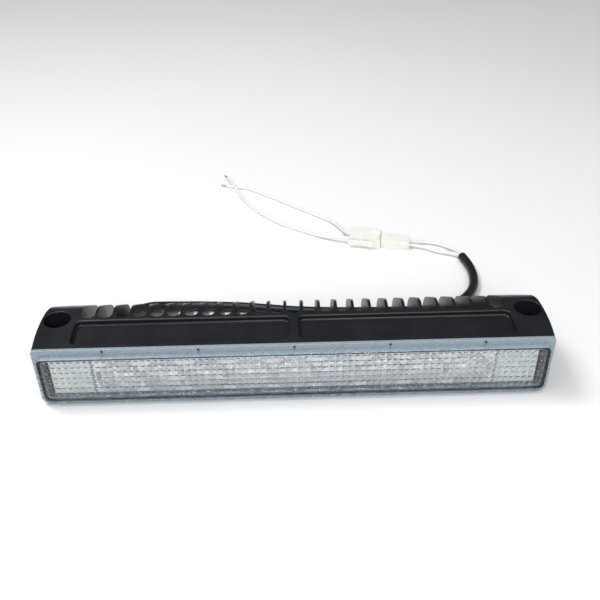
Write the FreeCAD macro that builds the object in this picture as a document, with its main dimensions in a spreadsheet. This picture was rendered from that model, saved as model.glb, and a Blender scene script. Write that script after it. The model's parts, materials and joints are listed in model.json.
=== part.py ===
import FreeCAD, Part
import Sketcher
import math
import os
import re

# LED light bar: a finned, painted aluminium housing with a clear lens over a row of
# reflector cups, a cable gland on the back, a black cable and a two-way white connector.
#
# Frame, in millimetres: +X along the bar, +Y from the lens to the fins, +Z up.
# Origin: the middle of the bar's underside. The bar, its cable and its connector
# all lie on the plane Z = 0.

DIMENSIONS = [
    # alias, value, meaning
    ("bar_length", 300.0, "housing length along its front edge"),
    ("bar_depth", 72.0, "housing depth, lens not included"),
    ("bar_height", 40.6, "housing height"),
    ("lens_depth", 5.0, "how far the lens window stands ahead of the housing"),
    ("end_bulge", 1.4, "how far the barrel-shaped ends swell past the front corners"),
    ("end_radius", 143.6, "plan radius of the ends"),
    ("end_middle", 20.0, "distance from the front to the widest place"),
    ("end_round", 1.6, "upper edge rounding of the ends"),
    ("end_foot_round", 5.0, "lower edge rounding of the ends"),
    ("slope_start", 40.9, "distance from the front to the sharp start of the rear slope"),
    ("knee_height", 19.1, "height of the sharp end of the rear slope"),
    ("slope_round", 20.0, "rounding between the flat top and the slope"),
    ("knee_round", 18.0, "rounding between the slope and the back"),
    ("slot_pitch", 10.3, "pitch of the cooling slots"),
    ("slot_count", 25.0, "number of cooling slots"),
    ("fin_width", 1.8, "thickness of a fin"),
    ("slot_front", 28.5, "distance from the front to the slots"),
    ("slot_round", 4.1, "corner rounding of a slot"),
    ("ear_hole_x", 141.2, "distance of a mounting hole from the middle"),
    ("ear_hole_y", 28.0, "distance of a mounting hole from the front"),
    ("ear_sink_r", 8.0, "counterbore radius of a mounting hole"),
    ("ear_sink_depth", 26.0, "counterbore depth of a mounting hole"),
    ("ear_bolt_r", 4.25, "bolt hole radius, for an M8 bolt"),
    ("tray_inner", 3.3, "half width of the rib between the two top trays"),
    ("tray_outer", 129.0, "distance of a top tray's outer end from the middle"),
    ("tray_front", 4.5, "distance from the front to a top tray"),
    ("tray_back", 25.5, "distance from the front to the back of a top tray"),
    ("tray_depth", 4.0, "depth of a top tray"),
    ("tray_draft", 20.0, "draft of a top tray's walls, in degrees"),
    ("tray_round", 3.0, "corner rounding of a top tray"),
    ("tray_rim_round", 0.8, "rounding of a top tray's rim"),
    ("tray_foot_round", 1.2, "rounding at the foot of a top tray's walls"),
    ("ear_rim_round", 0.5, "rounding of a counterbore's rim"),
    ("cavity_half", 143.5, "half length of the light chamber"),
    ("cavity_low", 3.7, "height of the light chamber's floor"),
    ("cavity_high", 33.2, "height of the light chamber's ceiling"),
    ("cavity_depth", 15.6, "depth of the light chamber"),
    ("cavity_round", 4.0, "corner rounding of the light chamber"),
    ("pocket_left", 116.0, "distance of the driver pocket's outer end from the middle"),
    ("pocket_right", 44.0, "distance of the driver pocket's inner end from the middle"),
    ("pocket_low", 8.0, "height of the driver pocket's floor"),
    ("pocket_high", 30.0, "height of the driver pocket's ceiling"),
    ("pocket_depth", 10.5, "depth of the driver pocket behind the light chamber"),
    ("lens_half", 150.2, "half length of the lens flange"),
    ("flange_thick", 2.0, "thickness of the lens flange"),
    ("flange_top_round", 2.0, "upper corner rounding of the lens flange"),
    ("flange_foot_round", 5.5, "lower corner rounding of the lens flange"),
    ("window_half", 147.6, "half length of the raised lens window"),
    ("window_low", 4.2, "height of the window's lower edge"),
    ("window_high", 36.15, "height of the window's upper edge"),
    ("window_round", 3.5, "corner rounding of the window"),
    ("window_wall", 2.0, "wall of the lens window"),
    ("rib_pitch", 54.8, "pitch of the small ribs on the flange"),
    ("rib_width", 0.9, "width of a small rib"),
    ("rib_rise", 0.6, "height of a small rib over the flange"),
    ("seal_width", 1.6, "width of the lens seal"),
    ("seal_depth", 1.5, "depth of the lens seal's groove"),
    ("seal_half", 146.8, "half length of the lens seal's middle line"),
    ("seal_low", 1.85, "height of the seal's lower run"),
    ("seal_high", 38.4, "height of the seal's upper run"),
    ("light_axis", 18.45, "height of the line of light sources"),
    ("cup_pitch", 25.6, "pitch of the reflector cups and light sources"),
    ("cup_count", 9.0, "number of reflector cups"),
    ("cup_mouth_r", 12.6, "mouth radius of a reflector cup"),
    ("cup_throat_r", 3.6, "throat radius of a reflector cup"),
    ("reflector_wall", 2.2, "end wall of the reflector"),
    ("reflector_high", 26.4, "height of the reflector"),
    ("reflector_gap", 0.6, "gap between the reflector and the front plane"),
    ("panel_margin", 0.6, "gap between an end panel and the chamber's floor and ceiling"),
    ("panel_thick", 1.5, "thickness of the end panels"),
    ("panel_inset", 1.1, "gap between an end panel and the front plane"),
    ("panel_inner", 118.0, "distance of an end panel's inner edge from the middle"),
    ("panel_outer", 143.2, "distance of an end panel's outer edge from the middle"),
    ("panel_round", 3.9, "rounding of an end panel's outer corners"),
    ("board_half", 126.0, "half length of the light board"),
    ("board_thick", 1.6, "thickness of the light board and of the driver board"),
    ("board_high", 25.5, "height of the light board"),
    ("pad_thick", 0.5, "thickness of the thermal pad"),
    ("led_side", 3.5, "side of a light source package"),
    ("led_thick", 0.8, "thickness of a light source package"),
    ("led_dome_r", 1.4, "radius of a light source's dome"),
    ("screw_near", 38.4, "distance of the inner board screws from the middle"),
    ("screw_far", 121.6, "distance of the outer board screws from the middle"),
    ("screw_r", 1.25, "core radius of an M3 board screw"),
    ("screw_head_r", 2.75, "head radius of a board screw"),
    ("screw_head", 2.0, "head height of a board screw"),
    ("screw_bite", 8.0, "depth of a board screw in the housing"),
    ("driver_left", 93.0, "distance of the driver board's outer end from the middle"),
    ("driver_right", 47.0, "distance of the driver board's inner end from the middle"),
    ("driver_low", 9.5, "height of the driver board's lower edge"),
    ("driver_high", 28.5, "height of the driver board's upper edge"),
    ("driver_stand", 1.2, "gap behind the driver board"),
    ("link_x", 89.6, "distance of the link pins from the middle"),
    ("link_pitch", 2.54, "pitch of the link pins"),
    ("gland_x", 103.0, "distance of the cable gland from the middle"),
    ("gland_z", 12.5, "height of the cable gland"),
    ("gland_notch", 10.4, "half width of the notch in the fins round the gland"),
    ("gland_notch_top", 25.0, "height of that notch"),
    ("gland_notch_depth", 23.0, "depth of that notch behind the slots' front"),
    ("gland_boss_r", 9.0, "radius of the gland's boss"),
    ("gland_boss", 4.0, "length of the gland's boss"),
    ("gland_thread_r", 6.0, "radius of the gland's thread, M12"),
    ("gland_flat", 15.0, "gland width across flats"),
    ("gland_hex", 3.0, "length of the gland's hexagon"),
    ("gland_nut", 12.6, "length of the gland's dome nut"),
    ("cable_r", 3.2, "radius of the black cable"),
    ("wire_r", 1.2, "radius of a white wire"),
    ("core_r", 0.8, "radius of a supply core inside the housing"),
    ("tip_r", 0.85, "radius of a bare tinned wire end"),
    ("tip_length", 6.0, "length of a bare tinned wire end"),
    ("plug_x", 92.0, "connector's cable end, along the bar"),
    ("plug_y", 132.4, "connector's cable end, behind the bar"),
    ("plug_turn", 168.0, "direction of the connector's axis, in degrees"),
    ("plug_length", 22.0, "length of the narrow connector half"),
    ("plug_half", 5.5, "half width of the narrow connector half"),
    ("plug_high", 6.5, "height of the narrow connector half"),
    ("nose_length", 11.0, "length of the nose inside the wide half"),
    ("nose_half", 4.6, "half width of the nose"),
    ("nose_low", 0.9, "underside of the nose"),
    ("nose_high", 5.1, "top of the nose"),
    ("fit_gap", 0.25, "clearance between the connector halves"),
    ("socket_end", 46.0, "distance from the cable end to the far end of the wide half"),
    ("socket_half", 7.0, "half width of the wide half"),
    ("socket_high", 8.5, "height of the wide half"),
    ("socket_end_round", 1.6, "rounding of the wide half's upright edges at its far end"),
    ("socket_side_round", 1.0, "rounding of its upright edges at the mating end"),
    ("socket_brow_round", 2.4, "rounding of its upper edge at the mating end"),
    ("contact_pitch", 4.8, "pitch of the contacts and of the wires at the cable end"),
    ("contact_z", 3.0, "height of the contacts"),
    ("terminal_r", 1.1, "outer radius of a socket terminal"),
    ("terminal_bore", 0.6, "bore radius of a socket terminal"),
    ("pin_r", 0.53, "radius of a contact pin"),
    ("entry_depth", 1.3, "depth of the wire entries in both connector halves"),
    ("plug_entry_r", 1.7, "radius of the wire entries in the narrow half"),
    ("socket_entry_r", 1.9, "radius of the wire entries in the wide half"),
    ("tail_pitch", 6.0, "pitch of the wires at the far end"),
    ("tail_z", 5.0, "height of the wires at the far end"),
    ("latch_start", 28.0, "distance from the cable end to the latch's nose"),
    ("latch_end", 46.8, "distance from the cable end to the latch's thumb end"),
    ("latch_pivot", 37.0, "distance from the cable end to the latch's web"),
    ("hinge_r", 0.45, "radius of the round foot that the latch tilts on"),
    ("hinge_gap", 0.05, "clearance round that foot"),
    ("latch_thick", 1.7, "thickness of the latch"),
    ("latch_low", 3.0, "underside of the latch"),
    ("latch_high", 6.2, "top of the latch"),
    ("latch_hook", 1.9, "height of the latch's hook"),
    ("latch_gap", 0.9, "gap between the latch and the wide half"),
]

FRONT = "(lens_depth - bar_depth) / 2"
BACK = "(lens_depth + bar_depth) / 2"
SEAT = f"{FRONT} + cavity_depth"
BOARD_FACE = f"{SEAT} - pad_thick - board_thick"
POCKET_FLOOR = f"{SEAT} + pocket_depth"
DRIVER_FACE = f"{POCKET_FLOOR} - driver_stand - board_thick"
SLOT_FLOOR = f"{FRONT} + slot_front"
BOSS_FACE = f"{SLOT_FLOOR} + gland_boss"
NUT_FACE = f"{BOSS_FACE} + gland_hex + 1.4"
NUT_END = f"{NUT_FACE} + gland_nut"

# Routes of the cable and the wires, point by point, in millimetres.
CABLE_ROUTE = [
    (-103.0, 16.0, 12.5), (-103.0, 37.5, 12.2), (-100.3, 45.4, 10.3), (-95.1, 51.7, 7.2),
    (-87.9, 55.5, 4.5), (-78.8, 56.8, 3.3), (-64.5, 56.4, 3.25), (-48.0, 55.2, 3.25),
    (-32.0, 53.6, 3.25), (-16.0, 50.8, 3.25),
    (1.0, 47.8, 3.25), (26.0, 45.6, 3.25), (52.0, 44.6, 3.25), (76.0, 44.4, 3.25),
    (94.6, 45.4, 3.25), (105.8, 48.2, 3.25), (115.6, 53.6, 3.25), (123.4, 61.2, 3.25),
    (128.8, 70.8, 3.25), (131.4, 81.6, 3.25), (131.9, 92.6, 3.25), (130.7, 103.0, 3.25),
    (128.4, 111.6, 3.25),
]
LEAD_FAR_ROUTE = [
    (129.57, 112.05, 3.25), (127.6, 117.4, 3.1), (123.4, 123.6, 2.6), (117.0, 130.0, 2.0),
    (110.4, 134.2, 1.6), (104.2, 135.6, 1.8), (98.4, 135.0, 2.4), (91.81, 134.89, 3.0),
]
LEAD_NEAR_ROUTE = [
    (127.19, 111.7, 3.25), (124.9, 115.0, 3.1), (120.2, 117.8, 2.6), (113.6, 120.2, 2.0),
    (107.8, 123.8, 1.6), (102.4, 127.8, 1.8), (97.2, 129.6, 2.4), (90.82, 130.2, 3.0),
]
TAIL_NEAR_ROUTE = [
    (47.07, 138.88, 5.0), (39.6, 140.8, 4.4), (31.0, 144.2, 2.6), (21.6, 149.6, 1.5),
    (11.6, 156.6, 1.25), (1.0, 163.6, 1.25), (-9.6, 171.6, 1.25), (-20.2, 183.2, 1.25),
    (-31.4, 197.8, 1.25), (-40.2, 213.4, 2.0), (-45.8, 228.0, 3.6), (-50.2, 241.0, 4.1),
    (-54.4, 250.0, 3.2),
]
TAIL_FAR_ROUTE = [
    (48.31, 144.75, 5.0), (43.2, 148.3, 4.8), (40.9, 154.6, 4.0), (37.8, 164.6, 2.5),
    (31.0, 174.4, 1.4), (20.8, 183.8, 1.25), (6.2, 196.8, 1.25), (-9.4, 210.6, 1.25),
    (-22.6, 222.2, 1.25), (-32.4, 230.4, 1.25), (-40.6, 235.0, 1.25), (-47.6, 235.6, 1.25),
    (-54.2, 238.6, 1.25),
]

doc = FreeCAD.newDocument("LightBar")
sheet = doc.addObject("Spreadsheet::Sheet", "Dimensions")
for line, (alias, number, meaning) in enumerate(DIMENSIONS, start=1):
    sheet.set(f"A{line}", meaning)
    sheet.set(f"B{line}", str(number))
    sheet.setAlias(f"B{line}", alias)
doc.recompute()

ALIASES = {alias for alias, number, meaning in DIMENSIONS}
NODES = {}


def bound(expression):
    """The expression with every alias written as a cell of the sheet."""
    return re.sub(
        r"[a-z][a-z_]*",
        lambda word: f"Dimensions.{word.group()}" if word.group() in ALIASES else word.group(),
        str(expression),
    )


def value(expression):
    """The number that an expression of the sheet comes to."""
    return float(sheet.evalExpression(bound(expression)))


def node(name, item):
    """Name an object as one sub-part of the light bar."""
    item.Label = name
    NODES[name] = item
    return item


# Part primitives and booleans, each size an expression of the sheet.

def place(item, corner):
    for letter, expression in zip("xyz", corner):
        item.setExpression(f"Placement.Base.{letter}", bound(expression))


def block(name, low, high):
    """A box from its low corner to its high corner."""
    item = doc.addObject("Part::Box", name)
    for side, start, end in zip(("Length", "Width", "Height"), low, high):
        item.setExpression(side, bound(f"({end}) - ({start})"))
    place(item, low)
    return item


AXIS_TURNS = {
    "x": FreeCAD.Rotation(FreeCAD.Vector(0, 1, 0), 90),
    "y": FreeCAD.Rotation(FreeCAD.Vector(1, 0, 0), -90),
    "z": FreeCAD.Rotation(),
}


def rod(name, start, axis, length, radius):
    """A cylinder from the middle of its first face, along +X, +Y or +Z."""
    item = doc.addObject("Part::Cylinder", name)
    item.setExpression("Radius", bound(radius))
    item.setExpression("Height", bound(length))
    item.Placement = FreeCAD.Placement(FreeCAD.Vector(), AXIS_TURNS[axis])
    place(item, start)
    return item


def cone(name, start, axis, length, first_radius, last_radius):
    item = doc.addObject("Part::Cone", name)
    item.setExpression("Radius1", bound(first_radius))
    item.setExpression("Radius2", bound(last_radius))
    item.setExpression("Height", bound(length))
    item.Placement = FreeCAD.Placement(FreeCAD.Vector(), AXIS_TURNS[axis])
    place(item, start)
    return item


def hexagon(name, start, axis, length, across_flats):
    item = doc.addObject("Part::Prism", name)
    item.Polygon = 6
    item.setExpression("Circumradius", bound(f"({across_flats}) / 2 / cos(30)"))
    item.setExpression("Height", bound(length))
    item.Placement = FreeCAD.Placement(FreeCAD.Vector(), AXIS_TURNS[axis])
    place(item, start)
    return item


def join(name, pieces):
    item = doc.addObject("Part::MultiFuse", name)
    item.Shapes = pieces
    return item


def cut(name, base, tools):
    tool = tools[0]
    if len(tools) > 1:
        tool = join(f"{name}_tools", tools)
    item = doc.addObject("Part::Cut", name)
    item.Base = base
    item.Tool = tool
    return item


def cluster(name, pieces):
    """Identical pieces that share one node, each a solid of its own."""
    item = doc.addObject("Part::Compound", name)
    item.Links = pieces
    return item


# PartDesign bodies: sketches on a body's own origin planes, then pads and pockets.

def new_body(name):
    return doc.addObject("PartDesign::Body", name)


def new_sketch(body, name, plane, offset):
    """A sketch on a plane of the body, moved along the plane's normal."""
    sketch = body.newObject("Sketcher::SketchObject", name)
    support = next(item for item in body.Origin.OriginFeatures if item.Role == plane)
    sketch.AttachmentSupport = (support, [""])
    sketch.MapMode = "FlatFace"
    sketch.setExpression("AttachmentOffset.Base.z", bound(offset))
    return sketch


def hold(sketch, kind, *where, expression):
    """A sketch dimension that follows the sheet."""
    index = sketch.addConstraint(Sketcher.Constraint(kind, *where, value(expression)))
    sketch.setExpression(f"Constraints[{index}]", bound(expression))


def outline(body, name, plane, offset, corners):
    """A closed polygon whose corners are pairs of expressions."""
    sketch = new_sketch(body, name, plane, offset)
    points = [FreeCAD.Vector(value(across), value(up), 0) for across, up in corners]
    count = len(points)
    for index in range(count):
        sketch.addGeometry(Part.LineSegment(points[index], points[(index + 1) % count]))
    for index, (across, up) in enumerate(corners):
        before = (index - 1) % count
        sketch.addConstraint(Sketcher.Constraint("Coincident", before, 2, index, 1))
        hold(sketch, "DistanceX", -1, 1, index, 1, expression=across)
        hold(sketch, "DistanceY", -1, 1, index, 1, expression=up)
    return sketch


def rectangles(body, name, plane, offset, frames, corner=None):
    """Rectangles, each (left, low, right, high), with round corners if a radius is given."""
    sketch = new_sketch(body, name, plane, offset)
    for left, low, right, high in frames:
        if corner is None:
            square_frame(sketch, left, low, right, high)
        else:
            round_frame(sketch, left, low, right, high, corner)
    return sketch


def hold_sides(sketch, bottom, side, top, other, left, low, right, high):
    hold(sketch, "DistanceY", -1, 1, bottom, 1, expression=low)
    hold(sketch, "DistanceX", -1, 1, side, 1, expression=right)
    hold(sketch, "DistanceY", -1, 1, top, 1, expression=high)
    hold(sketch, "DistanceX", -1, 1, other, 1, expression=left)
    for line in (bottom, top):
        sketch.addConstraint(Sketcher.Constraint("Horizontal", line))
    for line in (side, other):
        sketch.addConstraint(Sketcher.Constraint("Vertical", line))


def square_frame(sketch, left, low, right, high):
    start = sketch.GeometryCount
    x_low, y_low, x_high, y_high = value(left), value(low), value(right), value(high)
    points = [
        FreeCAD.Vector(x_low, y_low, 0), FreeCAD.Vector(x_high, y_low, 0),
        FreeCAD.Vector(x_high, y_high, 0), FreeCAD.Vector(x_low, y_high, 0),
    ]
    for index in range(4):
        sketch.addGeometry(Part.LineSegment(points[index], points[(index + 1) % 4]))
    for index in range(4):
        sketch.addConstraint(
            Sketcher.Constraint("Coincident", start + index, 2, start + (index + 1) % 4, 1)
        )
    hold_sides(sketch, start, start + 1, start + 2, start + 3, left, low, right, high)


def round_frame(sketch, left, low, right, high, corner):
    start = sketch.GeometryCount
    x_low, y_low, x_high, y_high = value(left), value(low), value(right), value(high)
    r = value(corner)
    lines = [
        ((x_low + r, y_low), (x_high - r, y_low)), ((x_high, y_low + r), (x_high, y_high - r)),
        ((x_high - r, y_high), (x_low + r, y_high)), ((x_low, y_high - r), (x_low, y_low + r)),
    ]
    centres = [
        (x_high - r, y_low + r), (x_high - r, y_high - r),
        (x_low + r, y_high - r), (x_low + r, y_low + r),
    ]
    for first, last in lines:
        sketch.addGeometry(Part.LineSegment(FreeCAD.Vector(*first, 0), FreeCAD.Vector(*last, 0)))
    for index, centre in enumerate(centres):
        circle = Part.Circle(FreeCAD.Vector(*centre, 0), FreeCAD.Vector(0, 0, 1), r)
        turn = math.radians(90 * index - 90)
        sketch.addGeometry(Part.ArcOfCircle(circle, turn, turn + math.pi / 2))
    for index in range(4):
        arc = start + 4 + index
        after = start + (index + 1) % 4
        sketch.addConstraint(Sketcher.Constraint("Tangent", start + index, 2, arc, 1))
        sketch.addConstraint(Sketcher.Constraint("Tangent", arc, 2, after, 1))
        hold(sketch, "Radius", arc, expression=corner)
    hold_sides(sketch, start, start + 1, start + 2, start + 3, left, low, right, high)


def circles(body, name, plane, offset, centres, radius):
    sketch = new_sketch(body, name, plane, offset)
    for index, (across, up) in enumerate(centres):
        centre = FreeCAD.Vector(value(across), value(up), 0)
        sketch.addGeometry(Part.Circle(centre, FreeCAD.Vector(0, 0, 1), value(radius)))
        hold(sketch, "DistanceX", -1, 1, index, 3, expression=across)
        hold(sketch, "DistanceY", -1, 1, index, 3, expression=up)
        hold(sketch, "Radius", index, expression=radius)
    return sketch


def pad(body, sketch, length, backwards=False, both_ways=False):
    feature = body.newObject("PartDesign::Pad", f"{sketch.Name}_pad")
    feature.Profile = sketch
    feature.setExpression("Length", bound(length))
    feature.Reversed = backwards
    if both_ways:
        feature.SideType = "Symmetric"
    doc.recompute()
    return feature


def pocket(body, sketch, depth, backwards=False, draft=None):
    """A pocket, which has to take something away."""
    before = body.Shape.Volume
    feature = body.newObject("PartDesign::Pocket", f"{sketch.Name}_pocket")
    feature.Profile = sketch
    feature.Reversed = backwards
    feature.setExpression("Length", bound(depth))
    if draft is not None:
        feature.setExpression("TaperAngle", bound(draft))
    doc.recompute()
    if body.Shape.Volume > before - 0.01:
        raise ValueError(f"{feature.Name} cuts nothing")
    return feature


def round_edges(body, name, radius, chosen):
    """Fillet the edges of the body's shape that a test picks by their middle point."""
    base = body.Tip
    edges = []
    for index, edge in enumerate(body.Shape.Edges, start=1):
        middle = edge.valueAt((edge.FirstParameter + edge.LastParameter) / 2)
        if chosen(middle, edge):
            edges.append(f"Edge{index}")
    if not edges:
        raise ValueError(f"{name} finds no edge")
    fillet = body.newObject("PartDesign::Fillet", name)
    fillet.Base = (base, edges)
    fillet.setExpression("Radius", bound(radius))
    doc.recompute()
    if "Invalid" in fillet.State:
        raise ValueError(f"{name} fails: {fillet.getStatusString()}")
    return fillet


def near(number, expression, reach=0.05):
    return abs(number - value(expression)) < reach


# The housing.

def cut_ends(body):
    """Everything outside the barrel-shaped plan outline is taken away."""
    sketch = new_sketch(body, "end_outline", "XY_Plane", "bar_height + 1")
    far = value("bar_length")
    front, back = value(f"{FRONT} - 1"), value(f"{BACK} + 1")
    middle = value(f"{FRONT} + end_middle")
    centre = value("bar_length / 2 + end_bulge - end_radius")
    radius = value("end_radius")
    add = sketch.addGeometry
    for side in (1, -1):
        reach = [centre + math.sqrt(radius ** 2 - (y - middle) ** 2) for y in (front, back)]
        circle = Part.Circle(FreeCAD.Vector(side * centre, middle, 0), FreeCAD.Vector(0, 0, 1), radius)
        turns = [math.atan2(y - middle, side * (x - centre)) for x, y in zip(reach, (front, back))]
        start = add(Part.ArcOfCircle(circle, *turns) if side == 1 else Part.ArcOfCircle(
            circle, turns[1], turns[0] + 2 * math.pi))
        low, high = (1, 2) if side == 1 else (2, 1)
        front_line = add(Part.LineSegment(
            FreeCAD.Vector(side * reach[0], front, 0), FreeCAD.Vector(side * far, front, 0)))
        outer_line = add(Part.LineSegment(
            FreeCAD.Vector(side * far, front, 0), FreeCAD.Vector(side * far, back, 0)))
        back_line = add(Part.LineSegment(
            FreeCAD.Vector(side * far, back, 0), FreeCAD.Vector(side * reach[1], back, 0)))
        for first, last in (
            ((start, low), (front_line, 1)), ((front_line, 2), (outer_line, 1)),
            ((outer_line, 2), (back_line, 1)), ((back_line, 2), (start, high)),
        ):
            sketch.addConstraint(Sketcher.Constraint("Coincident", *first, *last))
        for line in (front_line, back_line):
            sketch.addConstraint(Sketcher.Constraint("Horizontal", line))
        sketch.addConstraint(Sketcher.Constraint("Vertical", outer_line))
        sign = "" if side == 1 else "-"
        hold(sketch, "DistanceX", -1, 1, start, 3,
             expression=f"{sign}(bar_length / 2 + end_bulge - end_radius)")
        hold(sketch, "DistanceY", -1, 1, start, 3, expression=f"{FRONT} + end_middle")
        hold(sketch, "Radius", start, expression="end_radius")
        hold(sketch, "DistanceX", -1, 1, outer_line, 1, expression=f"{sign}bar_length")
        hold(sketch, "DistanceY", -1, 1, front_line, 1, expression=f"{FRONT} - 1")
        hold(sketch, "DistanceY", -1, 1, back_line, 1, expression=f"{BACK} + 1")
    pocket(body, sketch, "bar_height + 2")


def cut_slots(body):
    """The cooling slots, open above, below and behind, leave the fins between them."""
    sketch = rectangles(
        body, "slot", "XY_Plane", "bar_height + 1",
        [("-slot_pitch * (slot_count - 1) / 2 - (slot_pitch - fin_width) / 2", SLOT_FLOOR,
          "-slot_pitch * (slot_count - 1) / 2 + (slot_pitch - fin_width) / 2", f"{BACK} + 10")],
        "slot_round",
    )
    first = pocket(body, sketch, "bar_height + 2")
    rows = body.newObject("PartDesign::LinearPattern", "slots")
    rows.Originals = [first]
    along = next(item for item in body.Origin.OriginFeatures if item.Role == "X_Axis")
    rows.Direction = (along, [""])
    rows.setExpression("Length", bound("slot_pitch * (slot_count - 1)"))
    rows.setExpression("Occurrences", bound("slot_count"))
    body.Tip = rows
    doc.recompute()


def make_housing():
    body = new_body("housing")
    half = "(bar_length / 2 + end_bulge)"
    profile = outline(body, "side_profile", "YZ_Plane", "0", [
        (FRONT, "0"), (BACK, "0"), (BACK, "knee_height"),
        (f"{FRONT} + slope_start", "bar_height"), (FRONT, "bar_height"),
    ])
    pad(body, profile, f"2 * {half}", both_ways=True)
    round_edges(body, "slope_edge", "slope_round",
                lambda p, e: near(p.y, f"{FRONT} + slope_start") and near(p.z, "bar_height"))
    round_edges(body, "knee_edge", "knee_round",
                lambda p, e: near(p.y, BACK) and near(p.z, "knee_height"))
    cut_ends(body)
    inner = value("bar_length / 2 - 12")
    round_edges(body, "end_edges", "end_round",
                lambda p, e: abs(p.x) > inner and near(p.z, "bar_height"))
    round_edges(body, "end_feet", "end_foot_round",
                lambda p, e: abs(p.x) > inner and near(p.z, "0"))
    cut_slots(body)

    trays = rectangles(body, "trays", "XY_Plane", "bar_height", [
        ("tray_inner", f"{FRONT} + tray_front", "tray_outer", f"{FRONT} + tray_back"),
        ("-tray_outer", f"{FRONT} + tray_front", "-tray_inner", f"{FRONT} + tray_back"),
    ], "tray_round")
    pocket(body, trays, "tray_depth", draft="tray_draft")
    tray_front, tray_back = value(f"{FRONT} + tray_front"), value(f"{FRONT} + tray_back")
    in_tray = lambda p: tray_front - 2 < p.y < tray_back + 2 and abs(p.x) < value("tray_outer") + 2
    round_edges(body, "tray_rims", "tray_rim_round",
                lambda p, e: near(p.z, "bar_height") and in_tray(p))
    round_edges(body, "tray_feet", "tray_foot_round",
                lambda p, e: near(p.z, "bar_height - tray_depth") and in_tray(p))

    chamber = rectangles(body, "chamber", "XZ_Plane", f"-({FRONT})", [
        ("-cavity_half", "cavity_low", "cavity_half", "cavity_high")], "cavity_round")
    pocket(body, chamber, "cavity_depth")
    driver = rectangles(body, "driver_pocket", "XZ_Plane", f"-({SEAT})", [
        ("-pocket_left", "pocket_low", "-pocket_right", "pocket_high")], "cavity_round")
    pocket(body, driver, "pocket_depth")
    stands = circles(body, "driver_stands", "XZ_Plane", f"-({POCKET_FLOOR})", DRIVER_SCREWS,
                     "screw_head_r")
    pad(body, stands, "driver_stand")
    groove = rectangles(body, "seal_groove", "XZ_Plane", f"-({FRONT})", SEAL_FRAMES)
    pocket(body, groove, "seal_depth")

    sinks = circles(body, "ear_sinks", "XY_Plane", "bar_height", EAR_HOLES, "ear_sink_r")
    pocket(body, sinks, "ear_sink_depth")
    round_edges(body, "ear_rims", "ear_rim_round",
                lambda p, e: near(p.z, "bar_height") and near(getattr(e.Curve, "Radius", 0), "ear_sink_r"))
    bolts = circles(body, "ear_bolts", "XY_Plane", "bar_height", EAR_HOLES, "ear_bolt_r")
    pocket(body, bolts, "bar_height + 1")

    notch = rectangles(body, "gland_notch_frame", "XZ_Plane", f"-({SLOT_FLOOR})", [
        ("-gland_x - gland_notch", "-1", "-gland_x + gland_notch", "gland_notch_top")])
    pocket(body, notch, "gland_notch_depth")
    boss = circles(body, "gland_boss_ring", "XZ_Plane", f"-({SLOT_FLOOR})",
                   [("-gland_x", "gland_z")], "gland_boss_r")
    pad(body, boss, "gland_boss", backwards=True)
    bore = circles(body, "gland_bore", "XZ_Plane", f"-({BOSS_FACE})",
                   [("-gland_x", "gland_z")], "gland_thread_r")
    pocket(body, bore, f"({BOSS_FACE}) - ({POCKET_FLOOR})", backwards=True)
    holes = circles(body, "board_screw_holes", "XZ_Plane", f"-({SEAT})", BOARD_SCREWS, "screw_r")
    pocket(body, holes, "screw_bite")
    driver_holes = circles(body, "driver_screw_holes", "XZ_Plane",
                           f"-({POCKET_FLOOR} - driver_stand)", DRIVER_SCREWS, "screw_r")
    pocket(body, driver_holes, "driver_stand + 1.5")
    return node("housing", body)


EAR_HOLES = [(f"{side}ear_hole_x", f"{FRONT} + ear_hole_y") for side in ("-", "")]
BOARD_SCREWS = [
    (across, "light_axis") for across in ("-screw_far", "-screw_near", "screw_near", "screw_far")
]
DRIVER_SCREWS = [
    ("-driver_left + 4", "driver_high - 4"), ("-driver_right - 4", "driver_low + 4"),
]
SEAL_FRAMES = [
    (f"-seal_half - {grow}", f"seal_low - {grow}", f"seal_half + {grow}", f"seal_high + {grow}")
    for grow in ("seal_width / 2", "(-seal_width / 2)")
]


# The lens and its seal.

def make_lens_cover():
    body = new_body("lens_cover")
    front = f"-({FRONT})"
    flange = rectangles(body, "flange", "XZ_Plane", front, [
        ("-lens_half", "0", "lens_half", "bar_height")])
    pad(body, flange, "flange_thick")
    edge_x = "lens_half"
    round_edges(body, "flange_feet", "flange_foot_round",
                lambda p, e: near(abs(p.x), edge_x) and near(p.z, "0"))
    round_edges(body, "flange_tops", "flange_top_round",
                lambda p, e: near(abs(p.x), edge_x) and near(p.z, "bar_height"))
    window = rectangles(body, "window", "XZ_Plane", front, [
        ("-window_half", "window_low", "window_half", "window_high")], "window_round")
    pad(body, window, "lens_depth")
    marks = []
    for count in range(-2, 3):
        left = f"{count} * rib_pitch - rib_width / 2"
        right = f"{count} * rib_pitch + rib_width / 2"
        marks.append((left, "window_high - 0.2", right, "bar_height - 1"))
        marks.append((left, "1", right, "window_low + 0.2"))
    ribs = rectangles(body, "ribs", "XZ_Plane", front, marks)
    pad(body, ribs, "flange_thick + rib_rise")
    hollow = rectangles(body, "hollow", "XZ_Plane", front, [
        ("-window_half + window_wall", "window_low + window_wall",
         "window_half - window_wall", "window_high - window_wall")], "window_round - 1")
    pocket(body, hollow, "lens_depth - window_wall", backwards=True)
    return node("lens_cover", body)


def make_lens_seal():
    body = new_body("lens_seal")
    bead = rectangles(body, "bead", "XZ_Plane", f"-({FRONT})", SEAL_FRAMES)
    pad(body, bead, "seal_depth", backwards=True)
    return node("lens_seal", body)


# The light chamber.

def cup_places():
    count = int(value("cup_count"))
    return [f"{index} * cup_pitch" for index in range(-(count // 2), count // 2 + 1)]


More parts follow.
